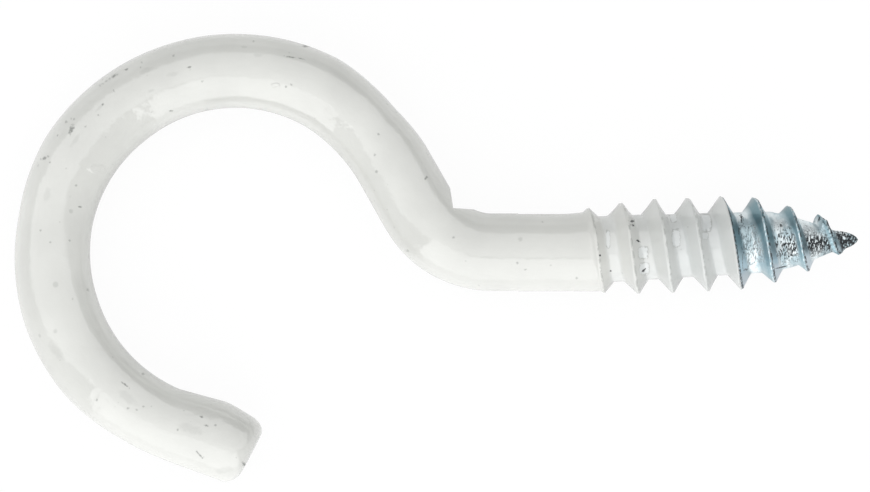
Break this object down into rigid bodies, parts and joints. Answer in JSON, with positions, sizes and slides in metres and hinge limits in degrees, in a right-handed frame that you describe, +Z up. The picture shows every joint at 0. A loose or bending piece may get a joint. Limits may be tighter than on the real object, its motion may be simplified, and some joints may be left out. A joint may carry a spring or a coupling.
{
  "type": "screw hook",
  "caption": "Open round screw hook of white coated steel wire, cranked so that its loop is centred on the pointed wood thread.",
  "frame": {"origin": "on the axis of the shank, at the plane where the plain shank ends and the thread starts, with the hook lying on its side", "axes": "+X along the shank towards the screw point, +Y across the loop towards the neck, +Z up, square to the plane of the loop"},
  "size_m": [0.05, 0.0267, 0.0056],
  "materials": {
    "coated_steel": "gloss white coat with fine specks over zinc plated steel, bare on the last turns of the thread"
  },
  "bodies": {
    "root": {"screw_hook": "coated_steel"}
  },
  "joints": []
}
